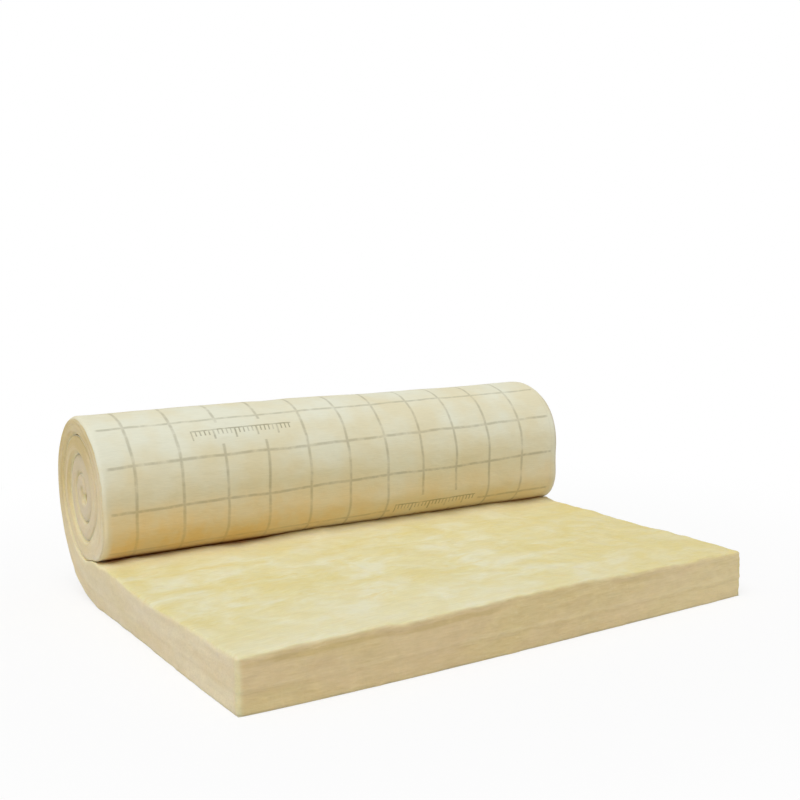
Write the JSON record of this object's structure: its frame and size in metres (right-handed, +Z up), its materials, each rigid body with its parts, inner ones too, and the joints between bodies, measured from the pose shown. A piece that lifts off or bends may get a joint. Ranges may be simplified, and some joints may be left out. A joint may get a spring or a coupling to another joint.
{
  "type": "insulation roll",
  "caption": "Partly unrolled mineral wool insulation blanket: a spiral roll with a printed facing on its outside, and its free end lying flat in front of it as a thick bare slab.",
  "frame": {"origin": "on the floor, under the middle of the whole object", "axes": "+X along the roll's axis, -Y towards the cut front edge of the flat tail, +Z up from the floor"},
  "size_m": [1.2, 0.9564, 0.412],
  "materials": {
    "wool": "bare mineral wool, matt and fibrous",
    "veil": "bonded fibre veil, matt, with a printed square cutting grid"
  },
  "bodies": {
    "root": {"wool_blanket": "wool", "facing_veil": "veil"}
  },
  "joints": []
}
